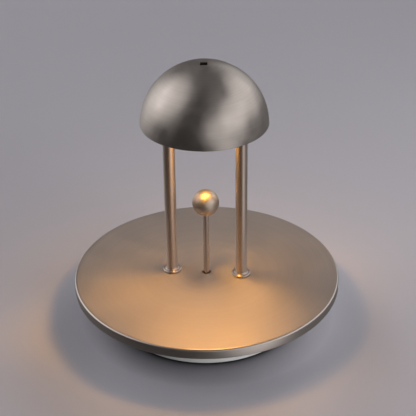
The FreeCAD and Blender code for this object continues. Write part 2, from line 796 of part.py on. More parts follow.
def make_lever():
    ball_radius = "ball_diameter / 2"
    socket = "(rod_radius + press_gap)"
    turned_piece("lever_ball", [
        (socket, f"-sqrt(({ball_radius})^2 - {socket}^2)", ball_radius, 1),
        ("0", ball_radius),
        ("0", "ball_socket + press_gap"),
        (socket, "ball_socket + press_gap"),
    ], z="ball_centre")
    rod = ring_piece("lever_rod", "rod_radius", "0", "ball_centre + ball_socket - pivot - magnet_seat",
                     z="pivot", lift="magnet_seat")
    cross_hole(rod, "XZ_Plane", "pin_radius + press_gap", "rod_radius + 1")
    hub = ring_piece("lever_hub", "hub_diameter / 2", socket, "hub_height",
                     z="pivot", lift="-hub_height / 2")
    cross_hole(hub, "XZ_Plane", "pin_radius + press_gap", "hub_diameter / 2 + 1")
    pin = new_piece("hub_pin", z="pivot")
    pin_end = new_sketch(pin, "XZ_Plane", lift="-gimbal_outer")
    circle(pin_end, "pin_radius")
    pad(pin, pin_end, "2 * gimbal_outer")
    cup_top = "magnet_seat + cup_floor"
    turned_piece("magnet_cup", [
        ("cup_radius", "-tail"),
        ("cup_radius + cup_wall", "-tail"),
        ("cup_radius + cup_wall", cup_top),
        ("cup_neck_diameter / 2", cup_top),
        ("cup_neck_diameter / 2", f"{cup_top} + cup_neck_height"),
        (socket, f"{cup_top} + cup_neck_height"),
        (socket, "magnet_seat"),
        ("cup_radius", "magnet_seat"),
    ], z="pivot")
    ring_piece("lever_magnet", "lever_magnet_diameter / 2", "0", "lever_magnet_height",
               z="pivot", lift="-tail")


def make_centring():
    rim = "holder_diameter / 2 - holder_rim"
    turned_piece("magnet_holder", [
        ("holder_bore", "0"),
        ("holder_diameter / 2", "0"),
        ("holder_diameter / 2", "holder_height"),
        (rim, "holder_height"),
        (rim, "centring_magnet_height"),
        ("holder_bore", "centring_magnet_height"),
    ], z="floor_top")
    ring_piece("centring_magnet", "centring_magnet_diameter / 2", "0", "centring_magnet_height", z="floor_top")
    ring_piece("sensor_board", f"{rim} - seat_gap", "sensor_board_bore / 2", "board_thickness",
               z="floor_top + centring_magnet_height")


def make_screws():
    screws("base_plate_screws", "base_screw_ring", "base_screw_count",
           "base_screw_reach", "foot_thickness + screw_head_height", 45)
    screws("ballast_screws", "ballast_screw_ring", "2",
           "ballast_screw_reach", "foot_thickness + screw_head_height")
    screws("board_screws", "board_hole_ring", "4", "board_thickness + board_screw_reach",
           "board_top", 45, y="board_y", size="small_screw", points=-1)
    screws("bracket_screws", "bracket_screw_ring", "bracket_screw_count",
           "bracket_sheet + bracket_boss", "deck_under - bracket_boss - bracket_sheet", 45)
    screws("underplate_screws", "underplate_screw_ring", "underplate_screw_count",
           "underplate_screw_reach", "tray_bottom", 45)
    screws("dome_screws", "dome_screw_ring", "dome_screw_count", "dome_screw_reach", "plate_under", 90)
    screws("bezel_screws", "bezel_screw_ring", "bezel_screw_count",
           "bezel_screw_reach", "plate_top", 90, size="small_screw", points=-1)


# Lead from the control board through the left post to the lamp head


def lead_route():
    post = number("-post_x")
    start_x = number("lead_start_x")
    start_y = number("board_y - lead_inset")
    run = number("floor_top + lead_run_height")
    crown = number("dome_rim + lead_crown")
    end_x = number("lead_end_x")
    return [
        Vector(start_x, start_y, number("board_top")),
        Vector(start_x, start_y, run),
        Vector(post, start_y - (start_x - post), run),
        Vector(post, 0, run),
        Vector(post, 0, crown),
        Vector(end_x, 0, crown),
        Vector(end_x, 0, number("plate_under")),
    ]


def bent_path(points, radius):
    # Straight runs joined by tangent arcs of one radius.
    edges = []
    here = points[0]
    for before, corner, after in zip(points, points[1:], points[2:]):
        back = (before - corner).normalize()
        ahead = (after - corner).normalize()
        half_turn = (math.pi - back.getAngle(ahead)) / 2
        length = radius * math.tan(half_turn)
        arc_start = corner + back * length
        arc_end = corner + ahead * length
        inward = (back + ahead).normalize()
        centre = corner + inward * (radius / math.cos(half_turn))
        edges.append(Part.LineSegment(here, arc_start).toShape())
        edges.append(Part.Arc(arc_start, centre - inward * radius, arc_end).toShape())
        here = arc_end
    edges.append(Part.LineSegment(here, points[-1]).toShape())
    return Part.Wire(edges)


def make_lead():
    path = bent_path(lead_route(), number("lead_bend"))
    start = path.Edges[0].firstVertex().Point
    heading = path.Edges[0].lastVertex().Point - start
    section = Part.Wire(Part.Circle(start, heading, number("lead_diameter / 2")).toShape())
    tube = path.makePipeShell([section], True, False)
    lead = doc.addObject("Part::Feature", "lamp_lead")
    lead.Label = "lamp_lead"
    lead.Shape = tube
    lead.Placement = Placement()
    pieces.append(lead)
    expected = math.pi * number("lead_diameter / 2") ** 2 * path.Length
    print(f"lead length {path.Length:.1f}, volume {tube.Volume:.1f} against {expected:.1f}")


make_foot_pad()
make_base_plate()
make_base_housing()
make_ballast()
make_cells()
make_control_board()
make_charging_port()
make_tray()
make_underplate()
make_posts()
make_post_fixings()
make_head_plate()
make_dome()
make_dome_tabs()
make_light()
make_heat_sink()
make_bracket()
make_gimbal()
make_lever()
make_centring()
make_screws()
make_lead()

doc.recompute()
for item in doc.Objects:
    if "Invalid" in item.State or "Error" in item.State:
        raise RuntimeError(f"{item.Name} failed: {item.State}")
for feature in cuts:
    if feature.Shape.Volume >= feature.BaseFeature.Shape.Volume:
        raise RuntimeError(f"{feature.Name} cuts nothing")
for piece in pieces:
    if piece.Shape.isNull() or not piece.Shape.isValid() or not piece.Shape.Solids:
        raise RuntimeError(f"{piece.Label} has no valid solid")
for piece in pieces:
    piece.Shape.exportStep(f"parts/{piece.Label}.step")
print(len(pieces), "nodes,", sum(len(piece.Shape.Solids) for piece in pieces), "solids")
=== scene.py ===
import math

import bmesh
import bpy
from mathutils import Matrix, Vector


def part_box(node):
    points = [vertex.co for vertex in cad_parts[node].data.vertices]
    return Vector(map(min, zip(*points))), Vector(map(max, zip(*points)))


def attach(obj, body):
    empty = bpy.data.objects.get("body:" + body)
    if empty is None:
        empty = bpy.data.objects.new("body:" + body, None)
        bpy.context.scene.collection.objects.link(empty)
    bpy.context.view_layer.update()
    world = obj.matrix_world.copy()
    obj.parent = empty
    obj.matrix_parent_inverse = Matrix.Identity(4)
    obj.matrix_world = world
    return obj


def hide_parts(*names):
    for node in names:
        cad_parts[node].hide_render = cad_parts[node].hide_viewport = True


# Table lamp with a magnetically held ball lever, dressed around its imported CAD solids.
# Metres, Z up, posts along X, front towards -Y.

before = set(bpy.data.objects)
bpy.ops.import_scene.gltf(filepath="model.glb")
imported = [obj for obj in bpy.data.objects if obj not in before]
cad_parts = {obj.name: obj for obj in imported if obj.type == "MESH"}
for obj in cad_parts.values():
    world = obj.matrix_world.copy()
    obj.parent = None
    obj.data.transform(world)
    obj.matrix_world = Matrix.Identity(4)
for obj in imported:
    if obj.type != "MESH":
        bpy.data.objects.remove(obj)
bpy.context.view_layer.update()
print("frame loaded,", len(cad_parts), "nodes")


# Camera and studio

camera = {
    "azimuth": 7.85,
    "elevation": 29.89,
    "roll": 0.74,
    "distance": 1.0255,
    "lens": 100.2,
    "sensor": 36.0,
    "near": 0.01,
    "far": 60,
    "aimSide": 0.002,
    "aimHeight": 0.1077,
}


def placeCamera():
    azimuth = math.radians(camera["azimuth"])
    elevation = math.radians(camera["elevation"])
    roll = math.radians(camera["roll"])
    side = Vector((math.cos(azimuth), math.sin(azimuth), 0))
    back = Vector((math.sin(azimuth) * math.cos(elevation),
                   -math.cos(azimuth) * math.cos(elevation),
                   math.sin(elevation)))
    up = back.cross(side)
    rolledUp = up * math.cos(roll) + side * math.sin(roll)
    rolledSide = side * math.cos(roll) - up * math.sin(roll)
    data = bpy.data.cameras.new("photoCamera")
    data.lens = camera["lens"]
    data.sensor_fit = "HORIZONTAL"
    data.sensor_width = camera["sensor"]
    data.clip_start = camera["near"]
    data.clip_end = camera["far"]
    eye = bpy.data.objects.new("photoCamera", data)
    bpy.context.scene.collection.objects.link(eye)
    turn = Matrix((rolledSide, rolledUp, back)).transposed().to_4x4()
    aim = side * camera["aimSide"] + Vector((0, 0, camera["aimHeight"]))
    eye.matrix_world = Matrix.Translation(aim + back * camera["distance"]) @ turn
    bpy.context.scene.camera = eye


placeCamera()
bpy.context.scene.view_settings.view_transform = "Standard"


def directionFrom(turn, height):
    # Unit vector towards a lamp; turn is degrees to the right of the camera's side of the object
    heading = math.radians(camera["azimuth"] + turn)
    rise = math.radians(height)
    return Vector((math.sin(heading) * math.cos(rise),
                   -math.cos(heading) * math.cos(rise),
                   math.sin(rise)))


class Nodes:
    # Short hand for laying out one node tree
    def __init__(self, tree):
        self.tree = tree

    def add(self, kind, **settings):
        node = self.tree.nodes.new(kind)
        for key, value in settings.items():
            setattr(node, key, value)
        return node

    def join(self, source, target):
        self.tree.links.new(source, target)

    def feed(self, value, target):
        # A plain value is set on the socket, a socket is linked to it
        if isinstance(value, bpy.types.NodeSocket):
            self.join(value, target)
        elif value is not None:
            target.default_value = value

    def feedAll(self, node, *values):
        for socket, value in zip(node.inputs, values):
            self.feed(value, socket)

    def maths(self, operation, *values):
        node = self.add("ShaderNodeMath", operation=operation)
        self.feedAll(node, *values)
        return node.outputs[0]

    def vector(self, operation, *values, output="Vector"):
        node = self.add("ShaderNodeVectorMath", operation=operation)
        self.feedAll(node, *values)
        return node.outputs[output]

    def blend(self, factor, first, second, mode="MIX"):
        # Sockets 6 and 7 are the Mix node's pair of colours, and output 2 is its colour
        node = self.add("ShaderNodeMix", data_type="RGBA", blend_type=mode)
        self.feed(factor, node.inputs[0])
        self.feed(first, node.inputs[6])
        self.feed(second, node.inputs[7])
        return node.outputs[2]

    def remap(self, value, low, high, newLow, newHigh, easing="LINEAR"):
        node = self.add("ShaderNodeMapRange", interpolation_type=easing)
        self.feedAll(node, value, low, high, newLow, newHigh)
        return node.outputs[0]

    def noise(self, coordinates, scale, detail=2.0, roughness=0.5):
        node = self.add("ShaderNodeTexNoise")
        self.feed(coordinates, node.inputs["Vector"])
        self.feed(scale, node.inputs["Scale"])
        self.feed(detail, node.inputs["Detail"])
        self.feed(roughness, node.inputs["Roughness"])
        return node.outputs["Fac"]

    def split(self, vector):
        node = self.add("ShaderNodeSeparateXYZ")
        self.join(vector, node.inputs[0])
        return node.outputs[:]

    def merge(self, x, y, z):
        node = self.add("ShaderNodeCombineXYZ")
        self.feedAll(node, x, y, z)
        return node.outputs[0]

    def spot(self):
        return self.add("ShaderNodeTexCoord").outputs["Object"]

    def reach(self, x, y):
        # Distance from an upright axis
        return self.maths("SQRT", self.maths("ADD", self.maths("MULTIPLY", x, x),
                                             self.maths("MULTIPLY", y, y)))

    def weigh(self, first, firstShare, second, secondShare):
        return self.maths("ADD", self.maths("MULTIPLY", first, firstShare),
                          self.maths("MULTIPLY", second, secondShare))


studio = {
    "rest": (0.127, 0.125, 0.127, 1.0),
    "frontShade": (0.045, 0.043, 0.043, 1.0),
    "frontTurn": -25.0,
    "frontHeight": 5.0,
    "frontStart": -0.1,
    "frontEnd": 0.8,
    "lampColour": (1.27, 1.255, 1.25, 1.0),
    # a softbox fades out between these shares of its spread
    "coreShare": 0.4,
    "edgeShare": 1.3,
    # turn, height, spread and strength of the softboxes that the metal mirrors
    "softboxes": (
        (-96.9, 38.0, 32.0, 0.696),
        (-119.4, 14.3, 26.3, 0.528),
        (151.4, 15.2, 20.1, 0.407),
        (114.1, 28.4, 26.9, 0.722),
        (62.4, 24.2, 26.4, 0.812),
        (22.7, 10.8, 24.1, 0.591),
        (-142.3, -5.8, 23.1, 0.285),
        (42.0, -30.0, 20.0, 0.630),
        (110.0, -35.0, 34.0, 0.017),
    ),
    # turn, height, spread and strength of the lamps that light matt surfaces and cast the shadow
    "fills": (
        (-98.7, 42.5, 22.1, 0.40),
        (-144.6, 11.2, 18.0, 1.08),
        (149.0, 13.6, 18.1, 1.40),
        (93.9, 27.7, 27.3, 0.53),
        (50.4, 15.1, 27.6, 0.53),
        (50.0, 1.0, 6.0, 1.9),
    ),
}


def lightTheRoom():
    # Softboxes all round in a dim room, and dark cloth in front; only the metal mirrors them
    world = bpy.data.worlds.new("studioRoom")
    bpy.context.scene.world = world
    world.use_nodes = True
    world.node_tree.nodes.clear()
    make = Nodes(world.node_tree)
    heading = make.add("ShaderNodeTexCoord").outputs["Generated"]

    def easeIn(turn, height, low, high):
        # 0 to 1 as the heading nears that of a lamp, between two cosines
        towards = make.vector("DOT_PRODUCT", heading, tuple(directionFrom(turn, height)),
                              output="Value")
        return make.remap(towards, low, high, 0.0, 1.0, "SMOOTHSTEP")

    front = easeIn(studio["frontTurn"], studio["frontHeight"],
                   studio["frontStart"], studio["frontEnd"])
    tone = make.blend(front, studio["rest"], studio["frontShade"])
    for turn, height, spread, strength in studio["softboxes"]:
        edge = math.cos(math.radians(spread * studio["edgeShare"]))
        core = math.cos(math.radians(spread * studio["coreShare"]))
        glow = make.maths("MULTIPLY", easeIn(turn, height, edge, core), strength)
        tone = make.blend(glow, tone, studio["lampColour"], "ADD")
        tone.node.clamp_factor = False
    room = make.add("ShaderNodeBackground")
    make.feed(tone, room.inputs["Color"])
    end = make.add("ShaderNodeOutputWorld")
    make.join(room.outputs[0], end.inputs["Surface"])
    world.cycles_visibility.diffuse = False


def addFills():
    for number, (turn, height, spread, strength) in enumerate(studio["fills"], 1):
        data = bpy.data.lights.new(f"studioFill{number}", "SUN")
        data.energy = strength
        data.angle = math.radians(spread * 2)
        item = bpy.data.objects.new(f"studioFill{number}", data)
        item.rotation_mode = "QUATERNION"
        item.rotation_quaternion = directionFrom(turn, height).to_track_quat("Z", "Y")
        item.visible_glossy = False
        bpy.context.scene.collection.objects.link(item)


lightTheRoom()
addFills()


def addFloor():
    # Grey paper with a broad painted pool of light to the right, and a painted shadow as a soft
    # dark ring round the lamp's base
    floor = {"radius": 12.0, "sides": 128, "colour": (0.69, 0.665, 0.735, 1.0),
             "roughness": 0.9, "specular": 0.1,
             "cloudScale": 2.2, "cloudLow": 0.3, "cloudHigh": 0.7, "cloudSwing": 0.015,
             "paintedLightPlace": (0.42, 0.05, 0.0), "paintedLightReach": 0.9, "paintedLightGain": 1.28,
             "paintedShadowStart": 0.085, "paintedShadowEnd": 0.117, "paintedShadowCurve": 0.6, "paintedShadowTone": 0.1}
    mesh = bpy.data.meshes.new("studioFloor")
    shape = bmesh.new()
    bmesh.ops.create_circle(shape, cap_ends=True, segments=floor["sides"],
                            radius=floor["radius"])
    shape.to_mesh(mesh)
    shape.free()
    item = bpy.data.objects.new("studioFloor", mesh)
    bpy.context.scene.collection.objects.link(item)
    material = bpy.data.materials.new("floorPaper")
    material.use_nodes = True
    make = Nodes(material.node_tree)
    surface = material.node_tree.nodes["Principled BSDF"]
    spot = make.spot()
    cloud = make.remap(make.noise(spot, floor["cloudScale"]),
                       floor["cloudLow"], floor["cloudHigh"],
                       1 - floor["cloudSwing"], 1 + floor["cloudSwing"])
    # Painted light: the paper's colour is raised towards a place to the right, as if a pool of
    # light fell there
    away = make.vector("DISTANCE", spot, floor["paintedLightPlace"], output="Value")
    glow = make.remap(away, 0.0, floor["paintedLightReach"], floor["paintedLightGain"], 1.0, "SMOOTHSTEP")
    # Painted shadow: the paper's colour is darkened in a soft ring round the lamp's base, where
    # the contact shadow falls under the disc
    reach = make.vector("LENGTH", spot, output="Value")
    shade = make.remap(reach, floor["paintedShadowStart"], floor["paintedShadowEnd"], 0.0, 1.0)
    shade = make.maths("POWER", shade, floor["paintedShadowCurve"])
    shade = make.remap(shade, 0.0, 1.0, floor["paintedShadowTone"], 1.0)
    tone = make.maths("MULTIPLY", make.maths("MULTIPLY", cloud, glow), shade)
    tint = make.blend(1.0, floor["colour"], make.merge(tone, tone, tone), "MULTIPLY")
    make.feed(tint, surface.inputs["Base Color"])
    surface.inputs["Roughness"].default_value = floor["roughness"]
    surface.inputs["Specular IOR Level"].default_value = floor["specular"]
    mesh.materials.append(material)
    item.visible_glossy = False


addFloor()
print("camera, lamps and floor placed")


# Shader groups


def newGroup(name, inputs, outputs):
    tree = bpy.data.node_groups.new(name, "ShaderNodeTree")
    for label, value in inputs:
        socket = tree.interface.new_socket(name=label, in_out="INPUT",
                                           socket_type="NodeSocketFloat")
        socket.default_value = value
    for label in outputs:
        tree.interface.new_socket(name=label, in_out="OUTPUT", socket_type="NodeSocketFloat")
    make = Nodes(tree)
    return make, make.add("NodeGroupInput").outputs, make.add("NodeGroupOutput").inputs


def buildTurnedLines():
    # Fine rings left by the polishing pad, about an upright axis at the given X
    line = {"drift": 0.006, "fineShare": 0.7, "broadShare": 0.3, "broadScale": 0.22}
    make, given, result = newGroup("turnedLines", [
        ("Axis X", 0.0),
        ("Lines per metre", 2600.0),
        ("Tone swing", 0.05),
    ], ["Tone", "Height"])
    spot = make.spot()
    x, y, z = make.split(spot)
    reach = make.reach(make.maths("SUBTRACT", x, given["Axis X"]), y)
    drift = make.vector("SCALE", spot)
    drift.node.inputs["Scale"].default_value = line["drift"]
    path = make.vector("ADD", make.merge(reach, z, 0.0), drift)
    scale = given["Lines per metre"]
    fine = make.noise(path, scale, 3.0, 0.65)
    broad = make.noise(path, make.maths("MULTIPLY", scale, line["broadScale"]))
    height = make.weigh(fine, line["fineShare"], broad, line["broadShare"])
    swing = make.maths("SUBTRACT", height, 0.5)
    tone = make.maths("MULTIPLY_ADD", swing, given["Tone swing"], 1.0)
    make.join(tone, result["Tone"])
    make.join(height, result["Height"])
    return make.tree


def buildHandling():
    # Cloudy marks of wiping and handling, used to vary gloss and tone
    mark = {"cloudShare": 0.75, "speckShare": 0.25, "speckScale": 14.0,
            "low": 0.35, "high": 0.65}
    make, given, result = newGroup("handlingMarks", [
        ("Cloud size", 0.03),
        ("Amount", 0.1),
    ], ["Swing"])
    spot = make.spot()
    scale = make.maths("DIVIDE", 1.0, given["Cloud size"])
    cloud = make.noise(spot, scale, 3.0, 0.55)
    specks = make.noise(spot, make.maths("MULTIPLY", scale, mark["speckScale"]), 2.0, 0.6)
    mask = make.remap(make.weigh(cloud, mark["cloudShare"], specks, mark["speckShare"]),
                      mark["low"], mark["high"], 0.0, 1.0)
    swing = make.maths("MULTIPLY", make.maths("SUBTRACT", mask, 0.5), given["Amount"])
    make.join(swing, result["Swing"])
    return make.tree


def buildMoulding():
    # Fine spark texture of moulded plastic, rubber and powder paint
    make, given, result = newGroup("mouldedGrain", [("Grain size", 0.0004)], ["Height"])
    scale = make.maths("DIVIDE", 1.0, given["Grain size"])
    make.join(make.noise(make.spot(), scale, 3.0, 0.6), result["Height"])
    return make.tree


groups = {
    "turned": buildTurnedLines(),
    "handling": buildHandling(),
    "grain": buildMoulding(),
}
print("shader groups built")


# Materials

bumpDepth = {"turned": 0.00004, "grain": 0.0001}


def newMaterial(name):
    material = bpy.data.materials.new(name)
    material.use_nodes = True
    make = Nodes(material.node_tree)
    return material, make, material.node_tree.nodes["Principled BSDF"]


def useGroup(make, group, **values):
    node = make.add("ShaderNodeGroup")
    node.node_tree = groups[group]
    for label, value in values.items():
        node.inputs[label.replace("_", " ")].default_value = value
    return node.outputs


def addBump(make, surface, height, strength, distance):
    bump = make.add("ShaderNodeBump")
    bump.inputs["Strength"].default_value = strength
    bump.inputs["Distance"].default_value = distance
    make.join(height, bump.inputs["Height"])
    make.join(bump.outputs["Normal"], surface.inputs["Normal"])


def tinted(make, colour, factor):
    return make.blend(1.0, colour, make.merge(factor, factor, factor), "MULTIPLY")


def markedTone(make, marks, share, base=1.0):
    # Handling marks added to a tone
    return make.maths("MULTIPLY_ADD", marks["Swing"], share, base)


def turnedMetal(name, colour, roughness, axisX=0.0, lines=2600.0, swing=0.10, stretch=0.0,
                clouds=0.03, cloudAmount=0.07, bump=0.12, turn=0.25, wall=None):
    # Metal polished round an upright axis at axisX
    material, make, surface = newMaterial(name)
    rings = useGroup(make, "turned", Axis_X=axisX, Lines_per_metre=lines, Tone_swing=swing)
    marks = useGroup(make, "handling", Cloud_size=clouds, Amount=cloudAmount)
    tone = markedTone(make, marks, 0.4, rings["Tone"])
    make.join(tinted(make, colour, tone), surface.inputs["Base Color"])
    gloss = make.maths("ADD", marks["Swing"], roughness)
    if wall:
        # Outside this reach from the axis the metal has a finer polish
        x, y = make.split(make.spot())[:2]
        finer = make.remap(make.reach(x, y), wall["reach"] - wall["fade"], wall["reach"],
                           0.0, roughness - wall["roughness"])
        gloss = make.maths("SUBTRACT", gloss, finer)
    make.join(gloss, surface.inputs["Roughness"])
    surface.inputs["Metallic"].default_value = 1.0
    addBump(make, surface, rings["Height"], bump, bumpDepth["turned"])
    if stretch:
        # The polish runs round the axis, so highlights spread across it
        x, y = make.split(make.spot())[:2]
        across = make.merge(make.maths("MULTIPLY", y, -1.0),
                            make.maths("SUBTRACT", x, axisX), 0.0)
        make.join(make.vector("NORMALIZE", across), surface.inputs["Tangent"])
        surface.inputs["Anisotropic"].default_value = stretch
        surface.inputs["Anisotropic Rotation"].default_value = turn
    return material


def grainedSurface(name, colour, roughness, grain, bump, marking):
    material, make, surface = newMaterial(name)
    marks = useGroup(make, "handling", Cloud_size=marking["size"], Amount=marking["amount"])
    tone = markedTone(make, marks, marking["share"])
    make.join(tinted(make, colour, tone), surface.inputs["Base Color"])
    make.join(make.maths("ADD", marks["Swing"], roughness), surface.inputs["Roughness"])
    height = useGroup(make, "grain", Grain_size=grain)["Height"]
    addBump(make, surface, height, bump, bumpDepth["grain"])
    return material, surface


def mouldedPlastic(name, colour, roughness, grain=0.0004, bump=0.15, coat=0.0):
    marking = {"size": 0.02, "amount": 0.08, "share": 0.5}
    material, surface = grainedSurface(name, colour, roughness, grain, bump, marking)
    surface.inputs["Coat Weight"].default_value = coat
    return material


def plainMetal(name, colour, roughness, grain=0.0006, bump=0.1):
    marking = {"size": 0.012, "amount": 0.14, "share": 0.8}
    material, surface = grainedSurface(name, colour, roughness, grain, bump, marking)
    surface.inputs["Metallic"].default_value = 1.0
    return material


def litOpal(name, colour, glow, strength):
    # Lit from behind, brightest in the middle
    opal = {"reach": 0.022, "edgeTone": 0.72, "cloudSize": 0.01, "amount": 0.05,
            "roughness": 0.45}
    material, make, surface = newMaterial(name)
    x, y = make.split(make.spot())[:2]
    fade = make.remap(make.reach(x, y), 0.0, opal["reach"], 1.0, opal["edgeTone"])
    make.join(tinted(make, glow, fade), surface.inputs["Emission Color"])
    surface.inputs["Emission Strength"].default_value = strength
    marks = useGroup(make, "handling", Cloud_size=opal["cloudSize"], Amount=opal["amount"])
    make.join(tinted(make, colour, markedTone(make, marks, 1.0)), surface.inputs["Base Color"])
    surface.inputs["Roughness"].default_value = opal["roughness"]
    return material


nickel = (0.515, 0.46, 0.425, 1.0)
postNickel = (0.53, 0.44, 0.385, 1.0)
finish = {
    "satin_nickel": turnedMetal("satinNickel", nickel, 0.36, lines=1400.0, swing=0.42,
                                stretch=0.4, clouds=0.012, cloudAmount=0.14, bump=0.3),
    "tray": turnedMetal("satinTray", (0.595, 0.522, 0.48, 1.0), 0.6, lines=1300.0, swing=0.2,
                        stretch=0.2, bump=0.2, turn=0.0,
                        wall={"reach": 0.1186, "fade": 0.0012, "roughness": 0.36}),
    "leftPost": turnedMetal("satinNickelLeft", postNickel, 0.38, axisX=-0.0317, stretch=0.8),
    "rightPost": turnedMetal("satinNickelRight", postNickel, 0.38, axisX=0.0317, stretch=0.8),
    "leverRod": turnedMetal("satinNickelRod", nickel, 0.24, stretch=0.35),
    "ball_metal": turnedMetal("satinBall", (0.53, 0.46, 0.40, 1.0), 0.44, swing=0.05,
                              bump=0.05),
    "white_plastic": mouldedPlastic("whiteHousing", (0.80, 0.80, 0.79, 1.0), 0.5),
    "grey_plastic": mouldedPlastic("greyMoulding", (0.105, 0.105, 0.11, 1.0), 0.55),
    "foot_rubber": mouldedPlastic("footRubber", (0.016, 0.016, 0.018, 1.0), 0.8,
                                  grain=0.0008, bump=0.4),
    "zinc_steel": plainMetal("zincSteel", (0.55, 0.56, 0.58, 1.0), 0.38),
    "screw_steel": plainMetal("screwSteel", (0.48, 0.48, 0.49, 1.0), 0.32),
    "white_paint": mouldedPlastic("reflectorPaint", (0.80, 0.78, 0.73, 1.0), 0.4, bump=0.08),
    "bezel_paint": turnedMetal("bezelNickel", nickel, 0.4, swing=0.06),
    "cast_aluminium": plainMetal("castAluminium", (0.52, 0.52, 0.53, 1.0), 0.5,
                                 grain=0.0005, bump=0.3),
    "opal_lens": litOpal("litOpal", (0.9, 0.85, 0.75, 1.0), (1.0, 0.62, 0.28, 1.0), 4.0),
    "led_lens": litOpal("ledPhosphor", (0.9, 0.6, 0.12, 1.0), (1.0, 0.7, 0.35, 1.0), 6.0),
    "board_laminate": mouldedPlastic("boardLaminate", (0.012, 0.085, 0.035, 1.0), 0.35,
                                     bump=0.1),
    "chip_black": mouldedPlastic("chipBlack", (0.012, 0.012, 0.013, 1.0), 0.5),
    "cell_wrap": mouldedPlastic("cellSleeve", (0.02, 0.075, 0.25, 1.0), 0.25, bump=0.03,
                                coat=0.4),
    "brass": plainMetal("turnedBrass", (0.60, 0.40, 0.13, 1.0), 0.3),
    "magnet_plate": plainMetal("magnetPlate", (0.62, 0.62, 0.63, 1.0), 0.15),
    "cup_steel": plainMetal("cupSteel", (0.45, 0.45, 0.455, 1.0), 0.35),
    "lead_sheath": mouldedPlastic("leadSheath", (0.012, 0.012, 0.013, 1.0), 0.55, bump=0.1),
}


def dressNodes():
    # Each CAD node gets the finish that its packed slot names
    slots = {}
    for node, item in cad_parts.items():
        used = [entry.name for entry in item.data.materials if entry]
        slots[node] = used[0].split(".")[0]
    for node, slot in slots.items():
        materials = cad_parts[node].data.materials
        materials.clear()
        materials.append(finish[slot])


dressNodes()
print("CAD nodes dressed")


# Turned pieces, each a section swept round its axis

weldGap = 1e-7


def arcPoints(centre, radius, start, end, steps):
    # Points on an arc in the section's (radius, height) plane, angles in degrees
    points = []
    for step in range(steps + 1):
        angle = math.radians(start + (end - start) * step / steps)
        points.append((centre[0] + radius * math.cos(angle),
                       centre[1] + radius * math.sin(angle)))
    return points


def barSection(bore, radius, low, high, soft, rings=8):
    # Straight bar or tube with both outer ends broken
    section = [(bore, low), (radius - soft, low), (radius, low + soft)]
    section += [(radius, low + (high - low) * step / rings) for step in range(1, rings)]
    return section + [(radius, high - soft), (radius - soft, high), (bore, high)]


def axisAndRadius(low, high):
    return (low.x + high.x) / 2, (high.x - low.x) / 2


def addColumn(shape, section, angle, axisX=0.0):
    return [shape.verts.new((axisX + reach * math.cos(angle), reach * math.sin(angle), height))
            for reach, height in section]


def bridgeColumns(shape, columns, closed=True):
    # Four-sided faces between each section and the next one round the axis
    count = len(columns[0])
    for step, near in enumerate(columns):
        far = columns[(step + 1) % len(columns)]
        for index in range(count if closed else count - 1):
            after = (index + 1) % count
            shape.faces.new((near[index], far[index], far[after], near[after]))


def turnedShape(section, sides, axisX=0.0, closed=True):
    shape = bmesh.new()
    columns = [addColumn(shape, section, 2 * math.pi * step / sides, axisX)
               for step in range(sides)]
    bridgeColumns(shape, columns, closed)
    bmesh.ops.remove_doubles(shape, verts=shape.verts, dist=weldGap)
    bmesh.ops.recalc_face_normals(shape, faces=shape.faces)
    return shape


def addPiece(name, shape, body, material, nodes, smoothAngle=32):
    mesh = bpy.data.meshes.new(name)
    shape.to_mesh(mesh)
    shape.free()
    mesh.polygons.foreach_set("use_smooth", [True] * len(mesh.polygons))
    mesh.set_sharp_from_angle(angle=math.radians(smoothAngle))
    mesh.materials.append(material)
    item = bpy.data.objects.new(name, mesh)
    bpy.context.scene.collection.objects.link(item)
    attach(item, body)
    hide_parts(*nodes)


def makeShade():
    # A spun cap of a ball on a straight skirt, with a square vent at its top
    shade = {"wall": 0.0012, "curve": 0.05501, "rimRound": 0.0005, "rimSteps": 5,
             "ventSide": 0.0062, "ventTurn": 8.0, "sides": 256, "crownRings": 10,
             "crownReach": 0.010, "rings": 56}
    low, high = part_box("dome_shade")
    outer, inner = shade["curve"], shade["curve"] - shade["wall"]
    centre = high.z - outer
    edge = shade["rimRound"]
    corner = math.radians(shade["ventTurn"] + 45)

    def ventReach(angle):
        # Distance from the axis to the square vent's side in that direction
        away = (angle - corner + math.pi / 4) % (math.pi / 2) - math.pi / 4
        return shade["ventSide"] / 2 / math.cos(math.pi / 4 - abs(away))

    def crownPoints(angle, curve):
        # From the vent's side out to the round part
        points = []
        for step in range(shade["crownRings"]):
            mix = step / shade["crownRings"]
            reach = ventReach(angle) * (1 - mix) + shade["crownReach"] * mix
            points.append((reach, centre + math.sqrt(curve ** 2 - reach ** 2)))
        return points

    def capPoints(curve):
        # Down from the crown to the skirt
        crown = math.degrees(math.acos(shade["crownReach"] / curve))
        skirt = math.degrees(math.asin((low.z - centre + edge * 2) / curve))
        return arcPoints((0, centre), curve, crown, skirt, shade["rings"])

    rim = arcPoints((high.x - edge, low.z + edge), edge, 0, -90, shade["rimSteps"])
    rim += arcPoints((high.x - shade["wall"] + edge, low.z + edge), edge, -90, -180,
                     shade["rimSteps"])
    middle = capPoints(outer) + rim + capPoints(inner)[::-1]
    shape = bmesh.new()
    columns = []
    for step in range(shade["sides"]):
        angle = corner + 2 * math.pi * step / shade["sides"]
        section = crownPoints(angle, outer) + middle + crownPoints(angle, inner)[::-1]
        columns.append(addColumn(shape, section, angle))
    bridgeColumns(shape, columns)
    bmesh.ops.recalc_face_normals(shape, faces=shape.faces)
    addPiece("domeShade", shape, "stand", finish["satin_nickel"],
             ["dome_shade"])


makeShade()


